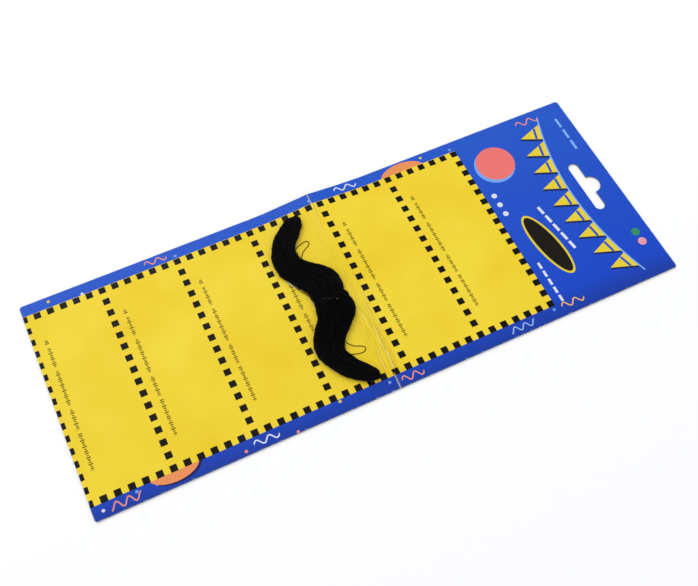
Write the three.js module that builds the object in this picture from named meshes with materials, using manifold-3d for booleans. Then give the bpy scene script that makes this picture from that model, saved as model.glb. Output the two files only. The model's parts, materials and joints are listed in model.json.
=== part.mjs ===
// A self-adhesive fake moustache of black plush, stapled to the printed card that it hangs on in a shop.
// Millimetres, +Z up. The card lies face up: +X runs along it towards the hang slot, +Y across it, and the
// origin is the middle of the card's back. The moustache's span lies along Y, with its mouth edge towards -X
// and its nose edge towards +X. The card was once folded in half, so its crease still stands up a little
// at the far edge. Every piece is shaped for a flat card and then raised by the same fold.

import * as THREE from "three";
import { mergeVertices } from "three/addons/utils/BufferGeometryUtils.js";
import Module from "manifold-3d";

// Card
const cardLength = 314;
const cardWidth = 120;
const boardThickness = 0.65;
const cornerRadius = 1.5;

// Crease of the folded card
const creaseFromMiddle = -1.2;
const creaseSlant = 4;
const foldRise = 2.9;
const foldReach = 32;
const foldFlatLength = 20;
const foldCurve = 1.4;

// Hang slot: a bar with a round bump, which reaches this far from the bar's middle line to the card's end
const slotLength = 32;
const slotWidth = 5.6;
const slotFromEnd = 13;
const slotFromAxis = 2.75;
const slotBumpRadius = 5.1;
const slotBumpReach = 8;

// Moustache: its box on the card, and its layers from the card upwards
const moustacheSpan = 101.8;
const moustacheDepth = 29;
const mouthLine = -33.3;
const spanMiddle = -0.4;
const paperThickness = 0.15;
const paperInset = 0.4;
const paperSlipX = -0.15;
const paperSlipY = -0.1;
const paperBulge = 1.0;
const paperBulgeFromMiddle = 14.7;
const paperBulgeReach = 5.5;
const filmThickness = 0.15;
const groundThickness = 0.6;
const pileHeight = 2.6;
const pileEdgeShare = 0.42;
const layerGap = 0.15;

// Locks of the pile
const lockPitch = 6.2;
const lockCrossing = 1.6;
const lockLength = 9.6;
const lockWidth = 4.6;
const lockThickness = 1.1;
const lockProud = 0.42;
const lockSplay = 0.25;
const lockOverhang = 0.5;
const lockScatter = 0.1;

// Staple
const stapleX = -14.4;
const stapleY = -2.9;
const stapleTurn = -25.5;
const stapleCrown = 9;
const stapleWire = 0.44;
const stapleSink = 1.0;
const stapleBend = 0.7;
const stapleClinch = 3.2;
const stapleClearance = 0.15;

// Fineness of the faceted surfaces
const foldSteps = 5;
const foldRows = 6;
const layerAlongSteps = 28;
const layerAcrossSteps = 3;
const plushAlongSteps = 36;
const plushAcrossSteps = 8;
const lockSides = 6;
const lockRings = 4;
const wireSteps = 44;
const wireSides = 6;
const arcSegments = 10;
const weldDistance = 1e-4;

// Outline of the two wings, from the middle of the moustache (first row) to the tips (last row), in even
// steps of the half span. Edges are shares of the moustache's depth from its mouth line, and crown is the
// share of the full pile height.
const wingRows = [
  { farMouth: 0.36, farNose: 0.96, nearMouth: 0.36, nearNose: 0.96, crown: 0.94 },
  { farMouth: 0.35, farNose: 0.99, nearMouth: 0.35, nearNose: 0.99, crown: 0.98 },
  { farMouth: 0.32, farNose: 0.99, nearMouth: 0.31, nearNose: 1.00, crown: 1.0 },
  { farMouth: 0.21, farNose: 0.93, nearMouth: 0.23, nearNose: 0.97, crown: 1.0 },
  { farMouth: 0.14, farNose: 0.82, nearMouth: 0.10, nearNose: 0.85, crown: 1.0 },
  { farMouth: 0.06, farNose: 0.65, nearMouth: 0.04, nearNose: 0.70, crown: 1.0 },
  { farMouth: 0.04, farNose: 0.52, nearMouth: 0.00, nearNose: 0.54, crown: 1.0 },
  { farMouth: 0.04, farNose: 0.50, nearMouth: 0.02, nearNose: 0.48, crown: 0.98 },
  { farMouth: 0.07, farNose: 0.55, nearMouth: 0.08, nearNose: 0.53, crown: 0.95 },
  { farMouth: 0.16, farNose: 0.66, nearMouth: 0.15, nearNose: 0.60, crown: 0.92 },
  { farMouth: 0.25, farNose: 0.79, nearMouth: 0.26, nearNose: 0.72, crown: 0.88 },
  { farMouth: 0.43, farNose: 0.87, nearMouth: 0.40, nearNose: 0.84, crown: 0.8 },
  { farMouth: 0.62, farNose: 0.80, nearMouth: 0.62, nearNose: 0.79, crown: 0.65 },
];

// Heights above the card's back, on a flat card
const paperBase = boardThickness + layerGap;
const filmBase = paperBase + paperThickness + layerGap;
const plushBase = filmBase + filmThickness + layerGap;
const plushTop = plushBase + groundThickness + pileHeight;

const wasm = await Module();
wasm.setup();

function toSolid(geometry) {
  const plain = geometry.clone();
  plain.deleteAttribute("normal");
  plain.deleteAttribute("uv");
  const welded = mergeVertices(plain, weldDistance);
  return new wasm.Manifold(new wasm.Mesh({
    numProp: 3,
    vertProperties: new Float32Array(welded.attributes.position.array),
    triVerts: new Uint32Array(welded.index.array),
  }));
}

function toGeometry(solid) {
  const mesh = solid.getMesh();
  const geometry = new THREE.BufferGeometry();
  geometry.setAttribute("position", new THREE.BufferAttribute(new Float32Array(mesh.vertProperties), 3));
  geometry.setIndex(new THREE.BufferAttribute(new Uint32Array(mesh.triVerts), 1));
  geometry.computeVertexNormals();
  return geometry;
}

// Moves every point of a geometry to where the given function puts it
function reshape(geometry, place) {
  const points = geometry.attributes.position;
  const point = new THREE.Vector3();
  for (let i = 0; i < points.count; i += 1) {
    point.fromBufferAttribute(points, i);
    const moved = place(point);
    points.setXYZ(i, moved.x, moved.y, moved.z);
  }
  return geometry;
}

function creaseX(y) {
  return creaseFromMiddle + (creaseSlant * y) / cardWidth;
}

// Height of the card's back above the table: a soft ridge along the crease that grows towards the far edge
function foldLift(x, y) {
  const along = (y + cardWidth / 2 - foldFlatLength) / (cardWidth - foldFlatLength);
  const away = Math.min(1, Math.abs(x - creaseX(y)) / foldReach);
  return foldRise * Math.max(0, along) * (1 - away) ** foldCurve;
}

function raised(point) {
  return new THREE.Vector3(point.x, point.y, point.z + foldLift(point.x, point.y));
}

// The card is a grid with columns of points beside the crease, even steps apart as far as the fold reaches,
// and rows of them from where the crease starts to rise. Its first row and its outer columns are its edges.
function makeCard() {
  const columns = 2 * foldSteps + 2;
  const slab = new THREE.BoxGeometry(columns, foldRows, boardThickness, columns, foldRows, 1);
  reshape(slab, (point) => {
    const column = Math.round(point.x + columns / 2);
    const row = Math.round(point.y + foldRows / 2);
    const risen = ((row - 1) * (cardWidth - foldFlatLength)) / (foldRows - 1);
    const y = (row === 0 ? 0 : foldFlatLength + risen) - cardWidth / 2;
    let x = column === 0 ? -cardLength / 2 : cardLength / 2;
    if (column > 0 && column < columns) {
      x = creaseX(y) + ((column - 1 - foldSteps) / foldSteps) * foldReach;
    }
    return raised(new THREE.Vector3(x, y, point.z + boardThickness / 2));
  });
  const outline = tallPrism(roundedRectangle(cardLength, cardWidth, cornerRadius));
  return toGeometry(toSolid(slab).intersect(outline).subtract(hangSlot()).subtract(stapleRoom()));
}

// An upright solid of the given outline, from below the card to above everything on it
function tallPrism(shape) {
  const reach = plushTop + foldRise;
  const options = { depth: 2 * reach, bevelEnabled: false, curveSegments: arcSegments };
  const prism = new THREE.ExtrudeGeometry(shape, options);
  prism.translate(0, 0, -reach / 2);
  return toSolid(prism);
}

function roundedRectangle(length, width, radius) {
  const right = length / 2 - radius;
  const top = width / 2 - radius;
  const shape = new THREE.Shape();
  shape.absarc(right, top, radius, 0, Math.PI / 2);
  shape.absarc(-right, top, radius, Math.PI / 2, Math.PI);
  shape.absarc(-right, -top, radius, Math.PI, 1.5 * Math.PI);
  shape.absarc(right, -top, radius, 1.5 * Math.PI, 2 * Math.PI);
  return shape;
}

function hangSlot() {
  const x = cardLength / 2 - slotFromEnd - slotWidth / 2;
  const endRadius = slotWidth / 2;
  const straight = slotLength / 2 - endRadius;
  const bar = new THREE.Shape();
  bar.absarc(x, slotFromAxis + straight, endRadius, 0, Math.PI);
  bar.absarc(x, slotFromAxis - straight, endRadius, Math.PI, 2 * Math.PI);
  const bump = new THREE.Shape();
  bump.absarc(x + slotBumpReach - slotBumpRadius, slotFromAxis, slotBumpRadius, 0, 2 * Math.PI);
  return tallPrism(bar).add(tallPrism(bump));
}

// The table's rows in one list, from the near tip to the far tip
const farRows = wingRows.map((row) => ({ mouth: row.farMouth, nose: row.farNose, crown: row.crown }));
const nearRows = wingRows.map((row) => ({ mouth: row.nearMouth, nose: row.nearNose, crown: row.crown }));
const stripRows = [...nearRows.reverse(), ...farRows.slice(1)];

// Smooth value of one column at a share of the half span: -1 is the near tip, 1 the far tip
function stripValue(share, column) {
  const last = stripRows.length - 1;
  const place = ((THREE.MathUtils.clamp(share, -1, 1) + 1) / 2) * last;
  const row = Math.min(last - 1, Math.floor(place));
  const read = (index) => stripRows[THREE.MathUtils.clamp(index, 0, last)][column];
  return catmullRom(place - row, read(row - 1), read(row), read(row + 1), read(row + 2));
}

function catmullRom(t, before, start, end, after) {
  const leaving = (end - before) / 2;
  const arriving = (after - start) / 2;
  const cubic = 2 * start - 2 * end + leaving + arriving;
  const square = -3 * start + 3 * end - 2 * leaving - arriving;
  return ((cubic * t + square) * t + leaving) * t + start;
}

function mouthEdge(share) {
  return mouthLine + moustacheDepth * stripValue(share, "mouth");
}

function noseEdge(share) {
  return mouthLine + moustacheDepth * stripValue(share, "nose");
}

// Point of the card under the moustache: share runs from tip to tip (-1 to 1), across from mouth edge (0) to
// nose edge (1). Both may pass their limits a little, where a lock hangs over the edge.
function onStrip(share, across) {
  const y = spanMiddle + (share * moustacheSpan) / 2;
  const mouth = mouthEdge(share);
  return new THREE.Vector2(mouth + (noseEdge(share) - mouth) * across, y);
}

// Height of the plush above its base, without its locks: domed across, lower at the tips
function plushHeight(share, across) {
  const sideways = 2 * THREE.MathUtils.clamp(across, 0, 1) - 1;
  const dome = pileEdgeShare + (1 - pileEdgeShare) * Math.sqrt(1 - sideways * sideways);
  return groundThickness + pileHeight * stripValue(share, "crown") * dome;
}

// A sheet of even thickness with the moustache's outline, set in from it by a margin. Its mouth edge may bulge
// out by a length that depends on where it is along the span.
function makeLayer(base, thickness, margin, bulge = () => 0) {
  const layer = new THREE.BoxGeometry(1, 2, thickness, layerAcrossSteps, layerAlongSteps, 1);
  return reshape(layer, (point) => {
    const share = point.y * (1 - (2 * margin) / moustacheSpan);
    const place = onStrip(share, point.x + 0.5);
    place.x -= 2 * point.x * margin + Math.max(0, -2 * point.x) * bulge(place.y);
    return new THREE.Vector3(place.x, place.y, base + thickness / 2 + point.z);
  });
}

// How far the release paper, cut by hand, peeps out at the far wing's mouth edge
function paperPeep(y) {
  const away = Math.abs(y - spanMiddle - paperBulgeFromMiddle) / paperBulgeReach;
  return paperBulge * Math.max(0, 1 - away);
}

function makePaper() {
  const sheet = makeLayer(paperBase, paperThickness, paperInset, paperPeep);
  sheet.translate(paperSlipX, paperSlipY, 0);
  reshape(sheet, raised);
  return toGeometry(toSolid(sheet).subtract(stapleRoom()));
}

function makeFilm() {
  const sheet = reshape(makeLayer(filmBase, filmThickness, 0), raised);
  return toGeometry(toSolid(sheet).subtract(stapleRoom()));
}

function makeBacking() {
  const body = new THREE.BoxGeometry(1, 2, 1, plushAcrossSteps, plushAlongSteps, 1);
  reshape(body, (point) => {
    const across = point.x + 0.5;
    const place = onStrip(point.y, across);
    const height = point.z < 0 ? 0 : plushHeight(point.y, across);
    return raised(new THREE.Vector3(place.x, place.y, plushBase + height));
  });
  return toSolid(body);
}

// A repeatable number between -1 and 1 for each lock, which looks random
function scatter(index, salt) {
  const wave = Math.sin(index * 12.9898 + salt * 78.233) * 43758.5453;
  return 2 * (wave - Math.floor(wave)) - 1;
}

// One lock: a tuft that leaves the backing at its root, runs towards the tip of its wing and tapers. Its back
// lies in the backing's surface all along, and only its rounded top stands proud of it.
function makeLock(rootShare, rootAcross, tipShare, tipAcross, widthShare) {
  const wing = Math.sign(tipShare - rootShare);
  const tuft = new THREE.SphereGeometry(1, lockSides, lockRings);
  reshape(tuft, (point) => {
    const t = (point.y + 1) / 2;
    const share = THREE.MathUtils.lerp(rootShare, tipShare, t);
    const across = THREE.MathUtils.lerp(rootAcross, tipAcross, t) + (wing * point.x * widthShare) / 2;
    const place = onStrip(share, across);
    const height = plushHeight(share, across) + lockProud + ((point.z - 1) * lockThickness) / 2;
    return raised(new THREE.Vector3(place.x, place.y, plushBase + height));
  });
  return toSolid(tuft);
}

// Locks of one wing, in rows from the middle to the tip. The first row's roots cross the middle a little.
function makeWingLocks(wing) {
  const locks = [];
  const halfSpan = moustacheSpan / 2;
  const rows = Math.ceil(halfSpan / lockPitch);
  for (let row = 0; row < rows; row += 1) {
    const rootShare = (wing * (row * lockPitch - lockCrossing)) / halfSpan;
    const tipShare = rootShare + (wing * lockLength) / halfSpan;
    const stripWidth = noseEdge(rootShare) - mouthEdge(rootShare);
    const count = Math.max(2, Math.round(stripWidth / lockWidth)) + (row % 2);
    for (let place = 0; place < count; place += 1) {
      const rootAcross = (place + 0.5 + lockScatter * scatter(locks.length, wing)) / count;
      const splay = (2 * rootAcross - 1) * (lockSplay / count + lockOverhang / stripWidth);
      const longer = (lockScatter * lockPitch * scatter(locks.length, 2 * wing)) / halfSpan;
      const tip = Math.min(1 + lockOverhang / halfSpan, Math.abs(tipShare) + longer);
      locks.push(makeLock(rootShare, rootAcross, wing * tip, rootAcross + splay, 1 / count));
    }
  }
  return locks;
}

function makePlush() {
  const locks = [...makeWingLocks(1), ...makeWingLocks(-1)];
  const plush = locks.reduce((whole, lock) => whole.add(lock), makeBacking());
  return toGeometry(plush.subtract(stapleRoom()));
}

// Heights of the staple's wire on a flat card: its crown lies sunk in the pile, its ends in the card's back
const crownHeight = plushTop - stapleSink;
const clinchHeight = 0;

// Point of the staple's upright plane: run is measured along its crown from the middle
function onStaple(run, height) {
  const turn = THREE.MathUtils.degToRad(stapleTurn);
  return new THREE.Vector3(stapleX + run * Math.cos(turn), stapleY + run * Math.sin(turn), height);
}

function makeStaple() {
  const half = stapleCrown / 2;
  const corner = (run, height, runStep, heightStep) => [
    raised(onStaple(run - runStep * stapleBend, height)),
    raised(onStaple(run, height)),
    raised(onStaple(run, height + heightStep * stapleBend)),
  ];
  const bends = [
    corner(-half, clinchHeight, -1, 1),
    corner(-half, crownHeight, -1, -1).reverse(),
    corner(half, crownHeight, 1, -1),
    corner(half, clinchHeight, 1, 1).reverse(),
  ];
  const path = new THREE.CurvePath();
  let last = raised(onStaple(stapleClinch - half, clinchHeight));
  for (const [start, middle, end] of bends) {
    path.add(new THREE.LineCurve3(last, start));
    path.add(new THREE.QuadraticBezierCurve3(start, middle, end));
    last = end;
  }
  path.add(new THREE.LineCurve3(last, raised(onStaple(half - stapleClinch, clinchHeight))));
  const section = new THREE.Shape();
  for (let side = 0; side < wireSides; side += 1) {
    const angle = (2 * Math.PI * side) / wireSides;
    const start = side === 0 ? "moveTo" : "lineTo";
    section[start]((Math.cos(angle) * stapleWire) / 2, (Math.sin(angle) * stapleWire) / 2);
  }
  return new THREE.ExtrudeGeometry(section, { steps: wireSteps, extrudePath: path, bevelEnabled: false });
}

// The room that the staple takes in the layers: a groove over its crown, two leg holes, two clinch grooves
function stapleRoom() {
  const half = stapleCrown / 2;
  const side = stapleWire / 2 + stapleClearance;
  const top = plushTop + lockProud + layerGap;
  const bar = (fromRun, toRun, low, high) => {
    const box = new THREE.BoxGeometry(1, 2 * side, 1);
    return toSolid(reshape(box, (point) => {
      const run = THREE.MathUtils.lerp(fromRun, toRun, point.x + 0.5);
      const place = onStaple(run, THREE.MathUtils.lerp(low, high, point.z + 0.5));
      const turn = THREE.MathUtils.degToRad(stapleTurn);
      place.x -= Math.sin(turn) * point.y;
      place.y += Math.cos(turn) * point.y;
      return raised(place);
    }));
  };
  const under = clinchHeight - side;
  const over = clinchHeight + side;
  return bar(-half - side, half + side, crownHeight - side, top)
    .add(bar(-half - side, -half + side, under, top))
    .add(bar(half - side, half + side, under, top))
    .add(bar(-half - side, -half + stapleClinch + side, under, over))
    .add(bar(half - stapleClinch - side, half + side, under, over));
}

const cardFinish = new THREE.MeshStandardMaterial({ color: 0xf2dc3e, roughness: 0.35, metalness: 0 });
const paperFinish = new THREE.MeshStandardMaterial({ color: 0xf4f2ea, roughness: 0.6, metalness: 0 });
const filmFinish = new THREE.MeshStandardMaterial({ color: 0xe8e4d6, roughness: 0.3, metalness: 0 });
const plushFinish = new THREE.MeshStandardMaterial({ color: 0x0d0c0d, roughness: 0.9, metalness: 0 });
const stapleFinish = new THREE.MeshStandardMaterial({ color: 0xb9bcc0, roughness: 0.3, metalness: 1 });

function addPiece(group, name, geometry, material) {
  const piece = new THREE.Mesh(geometry, material);
  piece.name = name;
  group.add(piece);
}

const group = new THREE.Group();
addPiece(group, "display_card", makeCard(), cardFinish);
addPiece(group, "backing_paper", makePaper(), paperFinish);
addPiece(group, "adhesive_film", makeFilm(), filmFinish);
addPiece(group, "plush_moustache", makePlush(), plushFinish);
addPiece(group, "staple", makeStaple(), stapleFinish);

export default group;
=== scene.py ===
# %% [markdown]
# # A stick-on plush moustache on its hang card
#
# The real thing is cut from black plush with a peel-off sticky back, and one staple holds it on a
# printed card that hangs in a shop. The card has been folded and opened again, so a crease crosses it.
# This lesson starts from a measured model of card, paper, film, plush and staple, which stays where it
# is. Here the parts get their real surfaces: varnished print, fibres that lie in locks, and wire.

# %% Load the measured model
import json
import math

import bmesh
import bpy
import numpy as np
from mathutils import Matrix, Vector

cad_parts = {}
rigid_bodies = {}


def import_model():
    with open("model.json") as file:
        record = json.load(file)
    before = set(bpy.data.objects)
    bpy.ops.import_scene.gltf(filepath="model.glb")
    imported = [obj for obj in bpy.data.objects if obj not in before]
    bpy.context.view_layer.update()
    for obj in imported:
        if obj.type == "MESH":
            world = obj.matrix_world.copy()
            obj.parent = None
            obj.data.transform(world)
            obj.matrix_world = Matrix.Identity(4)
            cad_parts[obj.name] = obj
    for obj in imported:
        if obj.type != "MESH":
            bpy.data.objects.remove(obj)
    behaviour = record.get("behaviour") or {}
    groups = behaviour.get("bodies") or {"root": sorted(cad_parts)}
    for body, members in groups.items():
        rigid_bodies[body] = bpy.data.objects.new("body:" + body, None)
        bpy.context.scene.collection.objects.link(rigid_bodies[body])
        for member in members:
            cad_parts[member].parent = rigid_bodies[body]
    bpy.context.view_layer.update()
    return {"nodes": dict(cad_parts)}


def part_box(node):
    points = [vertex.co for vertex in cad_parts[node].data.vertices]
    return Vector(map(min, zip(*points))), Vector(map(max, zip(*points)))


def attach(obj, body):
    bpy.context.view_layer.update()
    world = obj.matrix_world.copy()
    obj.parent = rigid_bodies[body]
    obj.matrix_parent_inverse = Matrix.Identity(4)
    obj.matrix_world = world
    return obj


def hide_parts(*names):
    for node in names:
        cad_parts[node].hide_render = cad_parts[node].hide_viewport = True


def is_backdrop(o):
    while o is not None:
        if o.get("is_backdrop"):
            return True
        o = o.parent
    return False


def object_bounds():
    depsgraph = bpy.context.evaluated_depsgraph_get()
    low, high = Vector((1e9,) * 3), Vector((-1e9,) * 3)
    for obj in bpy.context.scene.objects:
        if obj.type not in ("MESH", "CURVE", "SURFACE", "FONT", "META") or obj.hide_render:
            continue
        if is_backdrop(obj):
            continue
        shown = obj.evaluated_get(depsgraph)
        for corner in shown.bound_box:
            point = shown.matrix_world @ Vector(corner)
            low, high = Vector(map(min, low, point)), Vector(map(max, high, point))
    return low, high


for left_over in list(bpy.data.objects):
    bpy.data.objects.remove(left_over)
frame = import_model()
MM = 0.001

# %% [markdown]
# ## Camera
#
# The photograph was taken from above the near left corner of the card, a little over an arm's length
# away. A camera can be placed by its rotation numbers, but a heading, a tilt and a distance to the
# point it looks at say more, and each can be changed by itself.

# %% Place the camera
PHOTO_WIDTH = 698
FOCAL_IN_PIXELS = 970
SENSOR_WIDTH = 36
BOARD = 0.65 * MM
camera_aim = Vector((-3.7 * MM, -2.3 * MM, BOARD))
camera_distance = 492 * MM
camera_heading = math.radians(-26.87)
camera_tilt = math.radians(90 - 61.41)
camera_roll = math.radians(1.6)

camera_data = bpy.data.cameras.new("photo_camera")
camera_data.sensor_width = SENSOR_WIDTH
camera_data.lens = FOCAL_IN_PIXELS * SENSOR_WIDTH / PHOTO_WIDTH
camera = bpy.data.objects.new("photo_camera", camera_data)
bpy.context.scene.collection.objects.link(camera)
bpy.context.scene.camera = camera
unrolled = Matrix.Rotation(camera_heading, 3, "Z") @ Matrix.Rotation(camera_tilt, 3, "X")
camera.rotation_euler = (unrolled @ Matrix.Rotation(camera_roll, 3, "Z")).to_euler()
camera.location = camera_aim + unrolled @ Vector((0, 0, camera_distance))
print("camera at", [round(c, 4) for c in camera.location], "lens", round(camera_data.lens, 2))

# %% [markdown]
# ## The fold
#
# The card was bent in half once and never lies quite flat again: along its crease it still stands up,
# most at the far edge. All that lies on the card is raised with it. A bend deformer could do this, but
# the rise fades out both along and across the crease, so a short formula that gives the height at any
# point is simpler, and each piece can use the same one.

# %% Height of the folded card at any point
card_low, card_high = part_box("display_card")
card_length = card_high.x - card_low.x
card_width = card_high.y - card_low.y
crease_middle = -1.2 * MM
crease_slant = 4 / 120
fold_rise = card_high.z - card_low.z - BOARD
fold_reach = 32 * MM
fold_flat = 20 * MM
fold_curve = 1.4


def crease_x(y):
    return crease_middle + crease_slant * y


def fold_lift(x, y):
    """How far the card's back is raised off the table at x, y."""
    along = np.maximum(0, (y - card_low.y - fold_flat) / (card_width - fold_flat))
    away = np.minimum(1, np.abs(x - crease_x(y)) / fold_reach)
    return fold_rise * along * (1 - away) ** fold_curve


print("the fold stands up by", round(fold_rise / MM, 2), "mm at the far edge")

# %% [markdown]
# ## Small helpers
#
# Blender's operators work on whatever is selected, so each piece starts from an empty selection. Faces
# and edges are then picked by their place or direction, as a hand would pick them on the screen. When a
# piece is shaped, its place is written into its mesh, so that its object sits at the origin.

# %% Select, shape and finish
def deselect():
    for other in bpy.context.selected_objects:
        other.select_set(False)


def pick(part):
    deselect()
    part.select_set(True)
    bpy.context.view_layer.objects.active = part


def select_edges(part, wanted):
    """Opens the part in edit mode with only the edges selected for which wanted(edge) is true."""
    pick(part)
    bpy.ops.object.mode_set(mode="EDIT")
    bpy.ops.mesh.select_mode(type="EDGE")
    bpy.ops.mesh.select_all(action="DESELECT")
    shape = bmesh.from_edit_mesh(part.data)
    for edge in shape.edges:
        edge.select_set(wanted(edge))
    bmesh.update_edit_mesh(part.data)


def apply_modifier(part, kind, **settings):
    pick(part)
    modifier = part.modifiers.new(kind.lower(), kind)
    for name, value in settings.items():
        setattr(modifier, name, value)
    bpy.ops.object.modifier_apply(modifier=modifier.name)


def points_of(part):
    places = np.empty(len(part.data.vertices) * 3)
    part.data.vertices.foreach_get("co", places)
    return places.reshape(-1, 3)


def move_points(part, places):
    part.data.vertices.foreach_set("co", places.ravel())
    part.data.update()


def raise_with_fold(part):
    places = points_of(part)
    places[:, 2] += fold_lift(places[:, 0], places[:, 1])
    move_points(part, places)


def finish_piece(part, name, slot, *stands_for):
    """Names a piece, joins it to the model's body and hides the parts that it replaces."""
    part.name = name
    part.data.name = name
    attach(part, "root")
    if stands_for:
        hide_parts(*stands_for)
    triangles = sum(len(face.vertices) - 2 for face in part.data.polygons)
    print(name, "has", triangles, "triangles")


# %% [markdown]
# ## Materials are node trees
#
# Every finish below is built from nodes, so it stays sharp at any distance and needs no picture. Colours
# are noted as a printer or painter would, as sRGB hex values, and Blender calculates in linear light.
# One function does that sum, and one adds a node with its settings and what feeds it.

# %% Colour and node helpers
def linear(hex_colour):
    """An sRGB hex colour as the linear red, green, blue and alpha that Blender's sockets take."""
    channels = [int(hex_colour[place : place + 2], 16) / 255 for place in (1, 3, 5)]
    return [c / 12.92 if c <= 0.04045 else ((c + 0.055) / 1.055) ** 2.4 for c in channels] + [1]


def add(tree, kind, feeds=(), take=0, **settings):
    """Adds a node and gives one of its outputs. feeds holds a value or another output for each input, by
    its name or number, or simply in the inputs' own order."""
    made = tree.nodes.new("ShaderNode" + kind)
    for name, value in settings.items():
        setattr(made, name, value)
    for place, value in feeds.items() if isinstance(feeds, dict) else enumerate(feeds):
        if isinstance(value, bpy.types.NodeSocket):
            tree.links.new(value, made.inputs[place])
        else:
            made.inputs[place].default_value = value
    return made.outputs[take] if len(made.outputs) else None


def new_material(name):
    material = bpy.data.materials.new(name)
    material.use_nodes = True
    material.node_tree.nodes.clear()
    return material, material.node_tree


def place_in_mm(tree):
    """The point on the piece in millimetres, from the middle of the card."""
    place = add(tree, "TexCoord", take="Object")
    return add(tree, "Mapping", {"Vector": place, "Scale": (1 / MM, 1 / MM, 1 / MM)})


def flat_axes(tree, place):
    """The x and y of a place."""
    return [add(tree, "SeparateXYZ", (place,), take=axis) for axis in "XY"]


def local_place(tree, place, middle, scale=(1, 1), turn=0):
    """The place as seen from a middle, in units of a scale, with a turn in degrees taken out."""
    feeds = {"Vector": place, "Location": (*middle, 0), "Scale": (*scale, 1)}
    return add(tree, "Mapping", feeds | {"Rotation": (0, 0, math.radians(turn))}, vector_type="TEXTURE")


def product(tree, *masks):
    """Masks and strengths multiplied: full only where each of them is."""
    result = masks[0]
    for mask in masks[1:]:
        result = add(tree, "Math", (result, mask), operation="MULTIPLY")
    return result


def lay_over(tree, colour, layers):
    """Lays inks over a colour, one on the other, each through its mask."""
    for mask, ink in layers:
        colour = add(tree, "Mix", {0: mask, 6: colour, 7: ink}, take=2, data_type="RGBA")
    return colour


def ramp(tree, factor, stops, interpolation="LINEAR"):
    """Colours along a factor: each stop is a place from 0 to 1 and a hex colour."""
    output = add(tree, "ValToRGB", {"Fac": factor})
    colours = output.node.color_ramp
    colours.interpolation = interpolation
    while len(colours.elements) < len(stops):
        colours.elements.new(0.5)
    for element, (place, hex_colour) in zip(colours.elements, stops):
        element.position = place
        element.color = linear(hex_colour)
    return output


def finish_material(tree, **shader):
    """Ends a tree in one Principled shader, whose inputs are given by name with _ for a space."""
    feeds = {name.replace("_", " "): value for name, value in shader.items()}
    surface = add(tree, "BsdfPrincipled", feeds)
    add(tree, "OutputMaterial", {"Surface": surface})
    print("finished a material with", len(tree.nodes), "nodes")


# %% [markdown]
# ## The card's print
#
# The card is coated board, printed in offset and varnished: clear flat colours under a thin gloss. The
# print could be a picture, but flat shapes are easily drawn from numbers: a motif is a disc, a bar or a
# pennant, told by its middle, its half sizes and its ink. A bar is inside where the larger of its two
# distances is under one, and a disc where their length is. A pennant's width shrinks from its string to
# its point.

# %% Draw one motif
def motif(tree, place, form, middle, half, turn=0, copies=1, pitch=0):
    """1 inside the motif and 0 outside. Copies, an odd number, stand a pitch apart across the card."""
    local = local_place(tree, place, middle, half, turn)
    within = 1
    if copies > 1:
        step = pitch / half[1]
        y = add(tree, "SeparateXYZ", (local,), take="Y")
        within = add(tree, "Math", (y, 0, copies * step / 2), operation="COMPARE")
        bounds = (local, (1000, step / 2, 1000), (-1000, -step / 2, -1000))
        local = add(tree, "VectorMath", bounds, operation="WRAP")
    flat = add(tree, "VectorMath", (local, (1, 1, 0)), operation="MULTIPLY")
    positive = add(tree, "VectorMath", (flat,), operation="ABSOLUTE")
    if form == "disc":
        distance = add(tree, "VectorMath", (positive,), take="Value", operation="LENGTH")
    else:
        x = add(tree, "SeparateXYZ", (positive if form == "bar" else flat,), take="X")
        y = add(tree, "SeparateXYZ", (positive,), take="Y")
        if form == "pennant":
            y = add(tree, "Math", (x, -0.5, y), operation="MULTIPLY_ADD")
            y = add(tree, "Math", (y, 0.5), operation="ADD")
        distance = add(tree, "Math", (x, y), operation="MAXIMUM")
    inside = add(tree, "Math", (distance, 1), operation="LESS_THAN")
    return product(tree, inside, within)


def hung_place(tree, place, sag):
    """The place with a garland's curve taken out, so that what hangs on it can be drawn in a straight row."""
    y = add(tree, "SeparateXYZ", (place,), take="Y")
    square = add(tree, "Math", (y, y), operation="MULTIPLY")
    rise = add(tree, "Math", (square, sag), operation="MULTIPLY")
    offset = add(tree, "CombineXYZ", (rise,))
    return add(tree, "VectorMath", (place, offset), operation="SUBTRACT")


# %% [markdown]
# The yellow panel is ruled into six fields by rows of small black squares, and the same squares run
# along its two long edges. All of them sit on one lattice, so one sum finds the nearest lattice place,
# and a second one asks whether that place belongs to a ruled column or to an edge row.

# %% Rule the yellow panel with black squares
SQUARE = 3.5
LATTICE_X = 6.74
LATTICE_Y = 6.86
LATTICE_START = (5.0, 44.95)
FIELD_COLUMNS = 6
EDGE_ROWS = (1, -14)
LAST_COLUMN = 12


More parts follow.
